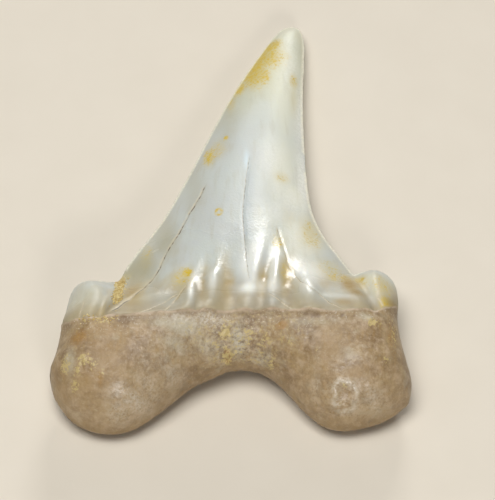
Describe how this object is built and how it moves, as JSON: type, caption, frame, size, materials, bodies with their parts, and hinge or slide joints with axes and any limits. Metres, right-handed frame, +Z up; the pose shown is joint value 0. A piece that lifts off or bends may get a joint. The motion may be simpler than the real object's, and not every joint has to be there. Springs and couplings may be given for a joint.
{
  "type": "fossil shark tooth",
  "caption": "Fossil shark tooth lying flat: a tall leaning cusp with a low cusplet at each side, folds at the crown's base, and a root with two rounded lobes.",
  "frame": {"origin": "middle of the footprint, on the surface the tooth lies on", "axes": "+Y from the root lobes to the tip, +X across the tooth to the right as seen on its outer face, +Z up out of the outer face"},
  "size_m": [0.0196, 0.0278, 0.0054],
  "materials": {
    "tooth": "glossy pale enamel on the crown, satin brown root"
  },
  "bodies": {
    "root": {"tooth": "tooth"}
  },
  "joints": []
}
